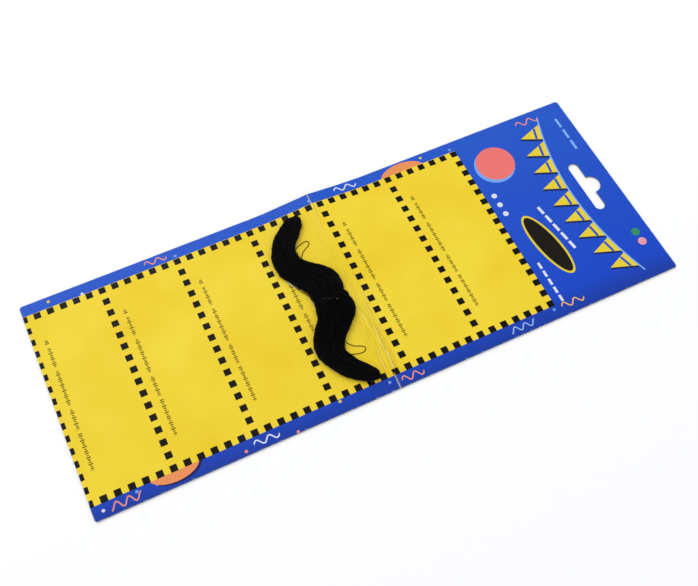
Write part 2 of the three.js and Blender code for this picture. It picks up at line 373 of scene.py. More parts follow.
def check_squares(tree, place):
    """1 on the black squares that rule and frame the yellow panel."""
    lattice = local_place(tree, place, LATTICE_START, (LATTICE_X, LATTICE_Y))
    half = (lattice, (0.5, 0.5, 0.5), (-0.5, -0.5, -0.5))
    offset = add(tree, "VectorMath", half, operation="WRAP")
    index = add(tree, "VectorMath", (lattice, offset), operation="SUBTRACT")
    offset_x, offset_y = flat_axes(tree, offset)
    column, row = flat_axes(tree, index)
    wide = add(tree, "Math", (offset_x, 0, SQUARE / LATTICE_X / 2), operation="COMPARE")
    high = add(tree, "Math", (offset_y, 0, SQUARE / LATTICE_Y / 2), operation="COMPARE")
    turn = (column, FIELD_COLUMNS / 2, -FIELD_COLUMNS / 2)
    wrapped = add(tree, "Math", turn, operation="WRAP")
    ruled = add(tree, "Math", (wrapped, 0, 0.5), operation="COMPARE")
    for edge_row in EDGE_ROWS:
        on_edge = add(tree, "Math", (row, edge_row, 0.5), operation="COMPARE")
        ruled = add(tree, "Math", (ruled, on_edge), operation="MAXIMUM")
    middle_row = sum(EDGE_ROWS) / 2
    reach = abs(EDGE_ROWS[0] - EDGE_ROWS[1]) / 2 + 0.5
    limits = [
        add(tree, "Math", (row, middle_row, reach), operation="COMPARE"),
        add(tree, "Math", (column, LAST_COLUMN + 0.5), operation="LESS_THAN"),
    ]
    return product(tree, wide, high, ruled, *limits)


# %% [markdown]
# A line of small olive print runs along each field on the real card. It is printed here as upright
# strokes of uneven height, which read as small print from a distance and say nothing. A short wave sets
# the strokes and two long ones the gaps between groups. A fourth wave, read once for each stroke, sets
# how tall it is.

# %% Lay a line of dashes along each field
DASH_LINE_FROM_COLUMN = 6.6
DASH_LINE_HALF = 37
STROKE_PITCH = 1.15
STROKE_HALF_HEIGHT = 0.75
STROKE_UNEVEN = 0.35
DASH_INK = "#453C06"
DASH_STRENGTH = 0.9


def wave_along(tree, coordinate, pitch):
    angle = add(tree, "Math", (coordinate, 2 * math.pi / pitch), operation="MULTIPLY")
    return add(tree, "Math", (angle,), operation="SINE")


def small_dashes(tree, place):
    x, y = flat_axes(tree, place)
    field = FIELD_COLUMNS * LATTICE_X
    first = LATTICE_START[0] + DASH_LINE_FROM_COLUMN
    from_line = add(tree, "Math", (x, first), operation="SUBTRACT")
    wrapped = add(tree, "Math", (from_line, field / 2, -field / 2), operation="WRAP")
    stroke = add(tree, "Math", (y, STROKE_PITCH), operation="SNAP")
    uneven = (wave_along(tree, stroke, 3.1), STROKE_UNEVEN, STROKE_HALF_HEIGHT)
    tall = add(tree, "Math", uneven, operation="MULTIPLY_ADD")
    on_line = add(tree, "Math", (wrapped, 0, tall), operation="COMPARE")
    in_length = add(tree, "Math", (y, 0, DASH_LINE_HALF), operation="COMPARE")
    thin = add(tree, "Math", (wave_along(tree, y, STROKE_PITCH), -0.3), operation="GREATER_THAN")
    slow = add(tree, "Math", (wave_along(tree, y, 7.1), wave_along(tree, y, 11.7)), operation="ADD")
    grouped = add(tree, "Math", (slow, -1.3), operation="GREATER_THAN")
    return product(tree, on_line, in_length, thin, grouped)


# %% [markdown]
# The blue margins carry paper confetti: round dots scattered at random. A Voronoi pattern puts one
# point in each cell of a grid, so a dot is drawn round some of them, and the cell's own random colour
# picks the ink. The header has none. Streamers are short waves, drawn where a point lies close to a sine
# line. Measured straight up, a steep part of a wave would come out thin, so its width grows with the slope.

# %% Scatter confetti and draw streamers
CONFETTI_CELL = 8.5
CONFETTI_RADIUS = 0.8
CONFETTI_SHARE = 0.36
HEADER_START = 87.5
STREAMER_WIDTH = 0.7


def confetti(tree, place):
    """Mask and ink colour of the scattered dots."""
    feeds = {"Vector": place, "Scale": 1 / CONFETTI_CELL, "Randomness": 0.75}
    distance = add(tree, "TexVoronoi", feeds, take="Distance", voronoi_dimensions="2D")
    colour = add(tree, "TexVoronoi", feeds, take="Color", voronoi_dimensions="2D")
    near = add(tree, "Math", (distance, CONFETTI_RADIUS / CONFETTI_CELL), operation="LESS_THAN")
    chance = add(tree, "SeparateColor", (colour,), take="Red")
    drawn = add(tree, "Math", (chance, CONFETTI_SHARE), operation="LESS_THAN")
    x = add(tree, "SeparateXYZ", (place,), take="X")
    in_margin = add(tree, "Math", (x, HEADER_START), operation="LESS_THAN")
    choice = add(tree, "SeparateColor", (colour,), take="Green")
    inks = [(0, "#E58A78"), (0.35, "#D9D8E2"), (0.62, "#6E9AE0"), (0.82, "#D8C040")]
    return product(tree, near, drawn, in_margin), ramp(tree, choice, inks, "CONSTANT")


def streamer(tree, place, middle, length, height, waves, turn=0):
    """1 on a short wavy line."""
    local = local_place(tree, place, middle, turn=turn)
    x, y = flat_axes(tree, local)
    turns_per_mm = 2 * math.pi * waves / length
    angle = add(tree, "Math", (x, turns_per_mm), operation="MULTIPLY")
    wave = add(tree, "Math", (angle,), operation="SINE")
    line = add(tree, "Math", (wave, height / 2), operation="MULTIPLY")
    steepness = add(tree, "Math", (angle,), operation="COSINE")
    slope = add(tree, "CombineXYZ", (steepness, 2 / (turns_per_mm * height)))
    stretch = add(tree, "VectorMath", (slope,), take="Value", operation="LENGTH")
    reach = STREAMER_WIDTH / 2 * turns_per_mm * height / 2
    reach = add(tree, "Math", (stretch, reach), operation="MULTIPLY")
    on_line = add(tree, "Math", (y, line, reach), operation="COMPARE")
    in_length = add(tree, "Math", (x, 0, length / 2), operation="COMPARE")
    return product(tree, on_line, in_length)


# %% [markdown]
# Handling leaves its marks. The crease has opened in several short strands that lie side by side, where the
# print has cracked; each strand is painted pale, partly as the cracked print and partly as a painted
# highlight on its edge, with a thin line of painted shade along its far side. They are drawn from a short
# table, because their places are what makes this crease look like itself. Finer wrinkles between them come
# from a noise that is stretched along the crease, and the varnish is rubbed thin along the card's edges.

# %% Mask the crease, its wrinkles and the rubbed edges
# from y, to y, offset from the crease at each end (mm), strength
CREASE_STRANDS = [
    (61, 49, 0.0, 0.2, 1.0),
    (53, 38, 0.3, -0.6, 0.5),
    (-3, -11, 3.9, 3.6, 0.5),
    (-9, -17, 3.6, 3.3, 0.35),
    (-12, -23, 2.5, 2.1, 0.45),
    (-13, -26, -1.0, -0.8, 0.5),
    (-22.5, -29, 4.8, 1.7, 0.5),
    (-24, -41, 1.5, 0.8, 1.0),
    (-35.5, -49, -2.0, -3.2, 0.65),
    (-39.5, -50, 1.8, 1.0, 0.9),
    (-51, -61, -0.1, -0.2, 1.0),
]
STRAND_WIDTH = 0.34
CREASE_WOBBLE = 1.1
# Offset of the line of painted shade from each crease strand (mm).
STRAND_SHADE_OFFSET = 0.5
WRINKLE_SHADE = 0.32


def crease_distance(tree, place):
    """Signed distance from the crease, in millimetres."""
    x, y = flat_axes(tree, place)
    middle = crease_middle / MM
    line = add(tree, "Math", (y, crease_slant, middle), operation="MULTIPLY_ADD")
    return add(tree, "Math", (x, line), operation="SUBTRACT")


def crease_strands(tree, place):
    """Two masks: the cracked strands, and a thin line of painted shade along the far side of each."""
    y = add(tree, "SeparateXYZ", (place,), take="Y")
    wobble = add(tree, "TexNoise", {"Vector": place, "Scale": 0.35, "Detail": 3}, take="Fac")
    away = crease_distance(tree, place)
    away = add(tree, "Math", (wobble, CREASE_WOBBLE, away), operation="MULTIPLY_ADD")
    masks = [0, 0]
    for start, end, first, last, strength in CREASE_STRANDS:
        offsets = (first + CREASE_WOBBLE / 2, last + CREASE_WOBBLE / 2)
        middle = add(tree, "MapRange", (y, start, end, *offsets), clamp=False)
        beside = add(tree, "Math", (away, middle), operation="SUBTRACT")
        run = add(tree, "MapRange", (y, start, end, -1), clamp=False)
        taper = add(tree, "MapRange", (product(tree, run, run), 0.5, 1, strength, 0))
        for side, offset in enumerate((0, STRAND_SHADE_OFFSET)):
            shifted = add(tree, "Math", (beside, offset), operation="SUBTRACT")
            size = add(tree, "Math", (shifted,), operation="ABSOLUTE")
            line = product(tree, add(tree, "MapRange", (size, 0.05, STRAND_WIDTH, 1, 0)), taper)
            masks[side] = add(tree, "Math", (masks[side], line), operation="MAXIMUM")
    return masks


def wrinkles(tree, place):
    """Long fine wrinkles beside the crease, strongest on the near half of the card."""
    feeds = {"Vector": place, "Scale": (1.1, 0.09, 1), "Rotation": (0, 0, -math.radians(6))}
    stretched = add(tree, "Mapping", feeds)
    lines = add(tree, "TexNoise", {"Vector": stretched, "Scale": 1, "Detail": 3}, take="Fac")
    size = add(tree, "Math", (crease_distance(tree, place),), operation="ABSOLUTE")
    near = add(tree, "MapRange", (size, 3, 9, 1, 0))
    y = add(tree, "SeparateXYZ", (place,), take="Y")
    lower = add(tree, "MapRange", (y, -20, 30, 1, 0.35))
    lines = add(tree, "MapRange", (lines, 0.42, 0.66))
    return product(tree, lines, near, lower)


def rubbed_edges(tree, place):
    x, y = flat_axes(tree, place)
    sides = []
    for coordinate, size in ((x, card_length), (y, card_width)):
        out = add(tree, "Math", (coordinate,), operation="ABSOLUTE")
        sides.append(add(tree, "Math", (out, size / 2 / MM - 0.7), operation="SUBTRACT"))
    edge = add(tree, "Math", (sides[0], sides[1]), operation="MAXIMUM")
    patches = add(tree, "TexNoise", {"Vector": place, "Scale": 0.35, "Detail": 5}, take="Fac")
    worn = add(tree, "Math", (patches, 2.2, -1.15), operation="MULTIPLY_ADD")
    reached = add(tree, "Math", (edge, worn), operation="ADD")
    return add(tree, "MapRange", (reached, 0.5, 0.9))


# %% [markdown]
# ## Varnished offset print on coated board
#
# The layers go on as on the press: blue ground, confetti, yellow panel, and black last. The header's
# motifs are plain party shapes in the card's own colours: a garland of yellow pennants with a blue stripe
# and dark shadows, a coral disc, a black oval with a yellow rim, and rows of dots and bars.

# %% Motifs of the header and the margins
# form, middle x and y, half sizes, turn, copies, pitch (mm, degrees), ink
GARLAND_SAG = 0.0032
GARLAND_MOTIFS = [
    ("pennant", (124.0, -1.4), (6.6, 5.2), 0, 9, 11.4, "#17224E"),
    ("pennant", (124.8, -0.5), (6.4, 5.0), 0, 9, 11.4, "#E3CB35"),
    ("bar", (127.6, -0.5), (0.7, 3.4), 0, 9, 11.4, "#2450B8"),
    ("bar", (131.3, -0.5), (0.45, 54.0), 0, 1, 0, "#7FAEE8"),
]
HEADER_MOTIFS = [
    ("disc", (102.6, 35.6), (11.2, 11.2), 0, 1, 0, "#6FA3E6"),
    ("disc", (103.8, 36.8), (10.8, 10.8), 0, 1, 0, "#E8736F"),
    ("disc", (103.2, -20.0), (6.4, 20.6), 9, 1, 0, "#DCC636"),
    ("disc", (103.2, -20.0), (5.2, 19.2), 9, 1, 0, "#17130C"),
    ("disc", (92.6, 12.0), (1.5, 1.5), 0, 3, 6.2, "#D9DCE8"),
    ("bar", (112.6, -13.0), (0.8, 2.5), 9, 5, 6.4, "#D9DCE8"),
    ("bar", (92.6, -40.0), (0.7, 1.9), 0, 5, 5.2, "#D9DCE8"),
    ("disc", (149.2, -33.0), (2.3, 2.3), 0, 1, 0, "#2F8C5A"),
    ("disc", (149.2, -39.4), (2.3, 2.3), 0, 1, 0, "#E59AA6"),
    ("bar", (149.8, 38.0), (0.7, 3.2), 0, 3, 8.2, "#7FAEE8"),
]
MARGIN_MOTIFS = [
    ("disc", (-115.6, -51.6), (12.6, 7.0), 0, 1, 0, "#1B1C54"),
    ("disc", (-116.5, -50.8), (12.6, 6.8), 0, 1, 0, "#E58F57"),
    ("disc", (55.0, 52.0), (13.0, 7.0), 0, 1, 0, "#E58F57"),
]
# middle x and y, length, height (mm), waves, turn (degrees), ink
STREAMERS = [
    ((-141.0, -56.4), 15, 3.4, 2.5, 0, "#E08E7A"),
    ((-72.0, -56.2), 13, 2.8, 2.0, 0, "#D5D9E6"),
    ((5.0, -56.4), 12, 3.0, 2.0, 0, "#E08E7A"),
    ((67.0, -56.2), 14, 2.8, 2.5, 0, "#8FB0E2"),
    ((-86.0, 57.0), 12, 2.6, 2.0, 0, "#E08E7A"),
    ((22.0, 57.0), 13, 2.6, 2.0, 0, "#D5D9E6"),
    ((97.0, -54.6), 13, 3.0, 2.0, 0, "#E5B54A"),
    ((134.0, 54.6), 14, 3.2, 2.0, 0, "#E08E7A"),
]
PANEL_MIDDLE = (-34.75, 0.5)
PANEL_HALF = (122.25, 53.2)
print(len(GARLAND_MOTIFS) + len(HEADER_MOTIFS) + len(MARGIN_MOTIFS), "rows of motifs")


# %% [markdown]
# Offset inks are clear but not quite even. The blue is painted lighter towards the far edge of the sheet, a
# painted sheen of the far lamp, and darker along the near edge. The yellow drifts a little between warm and
# pale, and the varnish over them gives a soft gloss, so roughness is low but not mirror-like. Board fibres
# barely show through as a fine bump.

# %% Print the face of the card
# The blue ink is painted lighter towards the far edge, a painted sheen, and darker along the near edge.
def blue_ink_with_painted_sheen(tree, place):
    y = add(tree, "SeparateXYZ", (place,), take="Y")
    half_width = card_width / 2 / MM
    share = add(tree, "MapRange", (y, -half_width, half_width))
    return ramp(tree, share, [(0, "#1A3A9A"), (0.1, "#1846C0"), (1, "#2656C2")])


def yellow_panel(tree, place):
    drift = add(tree, "TexNoise", {"Vector": place, "Scale": 0.025, "Detail": 2}, take="Fac")
    return ramp(tree, drift, [(0.3, "#E9C826"), (0.7, "#EFD53A")])


def print_layers(tree, place, colour, panel, wrinkled):
    """All inks over the blue ground, one on the other."""
    layers = [confetti(tree, place)]
    for middle, length, height, waves, turn, ink in STREAMERS:
        layers.append((streamer(tree, place, middle, length, height, waves, turn), linear(ink)))
    rows = [(place, row) for row in MARGIN_MOTIFS]
    hung = hung_place(tree, place, GARLAND_SAG)
    rows += [(place, row) for row in HEADER_MOTIFS] + [(hung, row) for row in GARLAND_MOTIFS]
    for row_place, (form, middle, half, turn, copies, pitch, ink) in rows:
        layers.append((motif(tree, row_place, form, middle, half, turn, copies, pitch), linear(ink)))
    layers.append((panel, yellow_panel(tree, place)))
    layers.append((product(tree, wrinkled, WRINKLE_SHADE, panel), linear("#C79F1A")))
    layers.append((product(tree, small_dashes(tree, place), DASH_STRENGTH, panel), linear(DASH_INK)))
    layers.append((check_squares(tree, place), linear("#0D0A04")))
    return lay_over(tree, colour, layers)


def printed_face():
    material, tree = new_material("varnished_offset_print")
    place = place_in_mm(tree)
    panel = motif(tree, place, "bar", PANEL_MIDDLE, PANEL_HALF)
    wrinkled = wrinkles(tree, place)
    colour = print_layers(tree, place, blue_ink_with_painted_sheen(tree, place), panel, wrinkled)
    # The crease strands are painted pale, partly cracked print and partly a painted highlight, and the second
    # mask lays a line of painted shade beside each.
    strands, strand_shade = crease_strands(tree, place)
    cracked = lay_over(tree, linear("#D9DDEA"), [(panel, linear("#F7EA9C"))])
    wear = [
        (product(tree, strand_shade, 0.6), linear("#8C6C14")),
        (product(tree, strands, 0.72), cracked),
        (product(tree, rubbed_edges(tree, place), 0.45), linear("#C9CCD6")),
    ]
    colour = lay_over(tree, colour, wear)
    fibres = add(tree, "TexNoise", {"Vector": place, "Scale": 1.6, "Detail": 4}, take="Fac")
    waves = add(tree, "TexNoise", {"Vector": place, "Scale": 0.035, "Detail": 1}, take="Fac")
    relief = product(tree, fibres, 0.006)
    for form, height in ((waves, 1.1), (wrinkled, 0.25), (strands, 0.08)):
        relief = add(tree, "Math", (form, height, relief), operation="MULTIPLY_ADD")
    bump = add(tree, "Bump", {"Height": relief, "Distance": MM, "Strength": 1})
    gloss = add(tree, "MapRange", {"Value": fibres, "To Min": 0.3, "To Max": 0.42})
    finish_material(tree, Base_Color=colour, Roughness=gloss, Normal=bump, Specular_IOR_Level=0.1)
    return material


# %% [markdown]
# The board under the print is grey inside, as cheap folding board is, with a paler uncoated back. Both
# are matt, and what tells them from plastic is their fibres: a fine speckle and a soft, rough surface.

# %% Grey board core and its uncoated back
def board_finish(name, dark, light, fibre_mm):
    material, tree = new_material(name)
    place = place_in_mm(tree)
    fibres = add(tree, "TexNoise", {"Vector": place, "Scale": 1 / fibre_mm, "Detail": 6}, take="Fac")
    colour = ramp(tree, fibres, [(0.3, dark), (0.7, light)])
    bump = add(tree, "Bump", {"Height": fibres, "Distance": 0.03 * MM, "Strength": 1})
    finish_material(tree, Base_Color=colour, Roughness=0.85, Normal=bump, Specular_IOR_Level=0.3)
    return material


printed_board = printed_face()
board_core = board_finish("grey_board_core", "#6E6B66", "#96928A", 0.25)
board_back = board_finish("uncoated_board_back", "#B9B5AB", "#CFCCC3", 0.6)

# %% [markdown]
# ## The card
#
# The real card is die-cut: a steel rule punches the outline, its small round corners and the hang slot
# in one stroke. The same order works here. A flat slab gets round upright corners with the bevel tool,
# two cutters punch the slot, a narrow bevel softens the rim, and only then is the card folded: cuts
# close together beside the crease give it the edges that the fold needs, and every point is raised.

# %% Punch the flat card
CORNER_RADIUS = 1.5 * MM
SLOT_LENGTH = 32 * MM
SLOT_WIDTH = 5.6 * MM
SLOT_FROM_END = 13 * MM
SLOT_FROM_AXIS = 2.75 * MM
SLOT_BUMP_RADIUS = 5.1 * MM
SLOT_BUMP_REACH = 8 * MM
RIM = 0.09 * MM


def is_upright(edge):
    direction = edge.verts[1].co - edge.verts[0].co
    return abs(direction.z) > 0.9 * direction.length


def rounded_slab(middle, size, radius, segments):
    deselect()
    bpy.ops.mesh.primitive_cube_add(size=1, location=middle, scale=size)
    slab = bpy.context.active_object
    bpy.ops.object.transform_apply(location=True, rotation=False, scale=True)
    select_edges(slab, is_upright)
    bpy.ops.mesh.bevel(offset=radius, segments=segments, affect="EDGES")
    bpy.ops.object.mode_set(mode="OBJECT")
    return slab


card = rounded_slab((0, 0, BOARD / 2), (card_length, card_width, BOARD), CORNER_RADIUS, 6)
slot_x = card_high.x - SLOT_FROM_END - SLOT_WIDTH / 2
through = 4 * BOARD
bar_size = (SLOT_WIDTH, SLOT_LENGTH, through)
bar_cutter = rounded_slab((slot_x, SLOT_FROM_AXIS, 0), bar_size, 0.499 * SLOT_WIDTH, 12)
deselect()
bump_x = slot_x + SLOT_BUMP_REACH - SLOT_BUMP_RADIUS
bump_place = (bump_x, SLOT_FROM_AXIS, 0)
bpy.ops.mesh.primitive_cylinder_add(vertices=56, radius=SLOT_BUMP_RADIUS, depth=through, location=bump_place)
bump_cutter = bpy.context.active_object
for cutter in (bar_cutter, bump_cutter):
    apply_modifier(card, "BOOLEAN", operation="DIFFERENCE", object=cutter, solver="EXACT")
    bpy.data.objects.remove(cutter)
apply_modifier(card, "BEVEL", width=RIM, segments=2, limit_method="ANGLE", angle_limit=math.radians(60))
print("punched card has", len(card.data.polygons), "faces")

# %% Fold the card along its crease
FOLD_CUTS = (0.35, 0.8, 1.5, 2.5, 4, 6, 8.5, 11.5, 15, 19, 23, 27.5, 32)
ROW_STEP = 7 * MM

pick(card)
bpy.ops.object.mode_set(mode="EDIT")
offsets = [0] + [side * cut * MM for cut in FOLD_CUTS for side in (-1, 1)]
planes = [((crease_middle + offset, 0, 0), (1, -crease_slant, 0)) for offset in offsets]
rows = np.arange(card_low.y + fold_flat, card_high.y, ROW_STEP)
planes += [((0, row, 0), (0, 1, 0)) for row in rows]
for point, normal in planes:
    bpy.ops.mesh.select_all(action="SELECT")
    bpy.ops.mesh.bisect(plane_co=point, plane_no=normal)
bpy.ops.object.mode_set(mode="OBJECT")
raise_with_fold(card)
for material in (printed_board, board_core, board_back):
    card.data.materials.append(material)
for face in card.data.polygons:
    face.material_index = 0 if face.normal.z > 0.8 else 2 if face.normal.z < -0.8 else 1
    face.use_smooth = abs(face.normal.z) < 0.8

# %% [markdown]
# A node print can be turned into a picture later, and then the card's UV map decides how sharp it comes
# out. So the face gets the full width of the map, the back lies above it, and the thin rims lie in
# bands at the top.

# %% Unfold the card for a picture of its print
BACK_BAND = 0.42
RIM_BAND = 0.84


def unfolded_place(point, material_index):
    u = (point.x - card_low.x) / card_length
    v = (point.y - card_low.y) / card_length
    if material_index == 1:
        return u, RIM_BAND + 0.14 * (v * card_length / card_width + point.z / card_high.z) / 2
    return u, v + BACK_BAND * (material_index == 2)


unfolded = card.data.uv_layers.new(name="OFBake")
for face in card.data.polygons:
    for loop, vert in zip(face.loop_indices, face.vertices):
        unfolded.data[loop].uv = unfolded_place(card.data.vertices[vert].co, face.material_index)
finish_piece(card, "folded_card", "printed_card", "display_card")

# %% [markdown]
# ## Sticky back
#
# Under the plush lies a film of clear adhesive, and under that a slip of waxed release paper that has
# moved a little, so that a sliver of it peeps out at the mouth edge. Both are thin sheets whose shape
# is right already. They keep their meshes and only get their finish.

# %% Waxed paper and adhesive film
def waxed_paper():
    material, tree = new_material("waxed_release_paper")
    place = place_in_mm(tree)
    fibres = add(tree, "TexNoise", {"Vector": place, "Scale": 2.5, "Detail": 5}, take="Fac")
    colour = ramp(tree, fibres, [(0.3, "#D8D0AE"), (0.7, "#ECE5CA")])
    bump = add(tree, "Bump", {"Height": fibres, "Distance": 0.01 * MM, "Strength": 1})
    finish_material(tree, Base_Color=colour, Roughness=0.45, Normal=bump, Coat_Weight=0.3, Coat_Roughness=0.3)
    return material


def adhesive_film():
    material, tree = new_material("pressed_acrylic_adhesive")
    place = place_in_mm(tree)
    ripples = add(tree, "TexNoise", {"Vector": place, "Scale": 1.2, "Detail": 3}, take="Fac")
    colour = ramp(tree, ripples, [(0.3, "#8C8778"), (0.7, "#A8A392")])
    bump = add(tree, "Bump", {"Height": ripples, "Distance": 0.02 * MM, "Strength": 1})
    finish_material(tree, Base_Color=colour, Roughness=0.3, Normal=bump, Specular_IOR_Level=0.5)
    return material


for node_name, material in (("backing_paper", waxed_paper()), ("adhesive_film", adhesive_film())):
    sheet = frame["nodes"][node_name]
    sheet.data.materials.clear()
    sheet.data.materials.append(material)

# %% [markdown]
# ## Where the plush lies
#
# The moustache's outline is read from the adhesive film, which was cut with the plush in one stroke. At
# steps along the span the film's edges give the mouth side and the nose side, and a smooth curve runs
# through them. The steps follow a sine, so they crowd at the tips, where the outline turns quickest.
# A point of the plush is then told by two shares: how far along the span, from -1 at the near tip to 1
# at the far tip, and how far across, from 0 at the mouth to 1 at the nose.

# %% Read the moustache's outline
OUTLINE_STEPS = 44
GROUND = 0.6 * MM
PILE = 2.6 * MM
EDGE_SHARE = 0.42
TIP_THINNING = 0.33
END_ROUNDING = 2.6 * MM

film = frame["nodes"]["adhesive_film"]
film_points = points_of(film)
film_edges = np.array([edge.vertices[:] for edge in film.data.edges])
film_low, film_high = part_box("adhesive_film")
half_span = (film_high.y - film_low.y) / 2
span_middle = (film_high.y + film_low.y) / 2
plush_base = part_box("plush_moustache")[0].z


def film_width_at(y):
    """Mouth edge and nose edge of the film where a line across it at y meets its edges."""
    start, end = film_points[film_edges[:, 0]], film_points[film_edges[:, 1]]
    crossing = (start[:, 1] - y) * (end[:, 1] - y) < 0
    start, end = start[crossing], end[crossing]
    share = (y - start[:, 1]) / (end[:, 1] - start[:, 1])
    x = start[:, 0] + share * (end[:, 0] - start[:, 0])
    return x.min(), x.max()


stations = 0.999 * np.sin(np.linspace(-math.pi / 2, math.pi / 2, OUTLINE_STEPS + 1))
outline = np.array([film_width_at(span_middle + half_span * share) for share in stations])
print("widest part of the plush is", round(np.ptp(outline, axis=1).max() / MM, 1), "mm")


def smooth_value(share, column):
    """Catmull-Rom curve through one column of the outline, for an array of shares."""
    position = (np.arcsin(np.clip(share, -1, 1)) / math.pi + 0.5) * OUTLINE_STEPS
    row = np.minimum(position.astype(int), OUTLINE_STEPS - 1)
    t = position - row
    near_rows = [np.clip(row + step, 0, OUTLINE_STEPS) for step in (-1, 0, 1, 2)]
    before, start, end, after = (outline[near_row, column] for near_row in near_rows)
    leaving, arriving = (end - before) / 2, (after - start) / 2
    cubic = 2 * start - 2 * end + leaving + arriving
    square = 3 * end - 3 * start - 2 * leaving - arriving
    return ((cubic * t + square) * t + leaving) * t + start


def strip_place(share, across):
    """x and y of points of the plush."""
    mouth, nose = smooth_value(share, 0), smooth_value(share, 1)
    return mouth + (nose - mouth) * across, span_middle + half_span * share


def strip_width(share):
    return smooth_value(share, 1) - smooth_value(share, 0)


def plush_height(share, across):
    """Height of the plush over its base: domed across, thinner towards the tips and round at their ends."""
    sideways = 2 * np.clip(across, 0, 1) - 1
    dome = EDGE_SHARE + (1 - EDGE_SHARE) * np.sqrt(1 - sideways**2)
    along = np.minimum(1, np.abs(share))
    crown = 1 - TIP_THINNING * along**5
    from_end = np.minimum(1, (1 - along) * half_span / END_ROUNDING)
    end = EDGE_SHARE + (1 - EDGE_SHARE) * np.sqrt(1 - (1 - from_end) ** 2)
    return GROUND + PILE * crown * dome * end


# %% [markdown]
# ## The plush ground
#
# Plush is knitted with a dense ground, and the roots of its fibres stand so close that nothing shows
# between them. A dark body a little lower and narrower than the pile takes their place. A grid is a
# good start for a lofted form: its two directions are the two shares, so each point finds its place by
# the outline, and an extrusion straight down closes the body on its flat back.

# %% Loft the ground under the pile
GROUND_MARGIN = 0.55 * MM
GROUND_SHARE = 0.62

deselect()
bpy.ops.mesh.primitive_grid_add(x_subdivisions=20, y_subdivisions=110, size=2)
ground = bpy.context.active_object
grid = points_of(ground)
share = grid[:, 1] * (1 - GROUND_MARGIN / half_span)
margin = GROUND_MARGIN / strip_width(share)
across = margin + (1 - 2 * margin) * (grid[:, 0] + 1) / 2
x, y = strip_place(share, across)
move_points(ground, np.stack([x, y, plush_base + GROUND_SHARE * plush_height(share, across)], axis=1))

pick(ground)
bpy.ops.object.mode_set(mode="EDIT")
bpy.ops.mesh.select_all(action="SELECT")
bpy.ops.mesh.extrude_region_move(TRANSFORM_OT_translate={"value": (0, 0, -2 * PILE)})
shape = bmesh.from_edit_mesh(ground.data)
for vert in shape.verts:
    if vert.select:
        vert.co.z = plush_base + 0.02 * MM
bmesh.update_edit_mesh(ground.data)
bpy.ops.mesh.select_all(action="SELECT")
bpy.ops.mesh.normals_make_consistent(inside=False)
bpy.ops.object.mode_set(mode="OBJECT")
raise_with_fold(ground)

# %% [markdown]
# The fibres are black acrylic, dull and very dark, because light that falls between them hardly comes out
# again. Only where a fibre turns its side to the light does a faint cold sheen show. Each hair brings its own
# tone as an attribute, which the colour follows; the tone is painted darker towards the root, a painted shade
# deep in the pile.

# %% Black acrylic pile
def black_pile():
    material, tree = new_material("black_acrylic_pile")
    tone = add(tree, "Attribute", take="Fac", attribute_name="tone", attribute_type="GEOMETRY")
    colour = ramp(tree, tone, [(0, "#020202"), (1, "#131215")])
    finish_material(tree, Base_Color=colour, Roughness=0.5, Specular_IOR_Level=0.13)
    return material


def black_ground():
    material, tree = new_material("dyed_plush_ground")
    place = place_in_mm(tree)
    tufts = add(tree, "TexNoise", {"Vector": place, "Scale": 2.2, "Detail": 4}, take="Fac")
    colour = ramp(tree, tufts, [(0.3, "#050505"), (0.7, "#0D0C0E")])
    bump = add(tree, "Bump", {"Height": tufts, "Distance": 0.3 * MM, "Strength": 1})
    finish_material(tree, Base_Color=colour, Roughness=0.95, Normal=bump, Specular_IOR_Level=0.05)
    return material


ground.data.materials.append(black_ground())
ground.data.shade_smooth()
finish_piece(ground, "plush_ground", "black_plush", "plush_moustache")

# %% [markdown]
# ## Building thousands of hairs
#
# Particle hair would do, but it has no mesh to hand on. So each hair is a tapered three-sided strand of
# its own, and all strands of a layer are one mesh, made from arrays in one go: a list of centre points
# for every hair, three corners round each, and one pattern of faces that repeats.

# %% Make one mesh from many strands
SIDES = 3
RINGS = 3
TAPER = (0.85, 1.0, 0.72)


def strand_pattern():
    """Faces of one strand, and the place of each face corner in the strand's own square of the UV map."""
    tip = SIDES * RINGS
    faces, corners = [], []
    for ring in range(RINGS):
        for side in range(SIDES):
            here = [ring * SIDES + side, ring * SIDES + (side + 1) % SIDES]
            left, right = 0.05 + 0.9 * side / SIDES, 0.05 + 0.9 * (side + 1) / SIDES
            low, high = 0.15 + 0.8 * ring / RINGS, 0.15 + 0.8 * (ring + 1) / RINGS
            if ring < RINGS - 1:
                faces.append(here + [here[1] + SIDES, here[0] + SIDES])
                corners.append([(left, low), (right, low), (right, high), (left, high)])
            else:
                faces.append(here + [tip])
                corners.append([(left, low), (right, low), ((left + right) / 2, high)])
    faces.append(list(range(SIDES))[::-1])
    corners.append([(0.35, 0.02), (0.2, 0.12), (0.05, 0.02)])
    return faces, corners


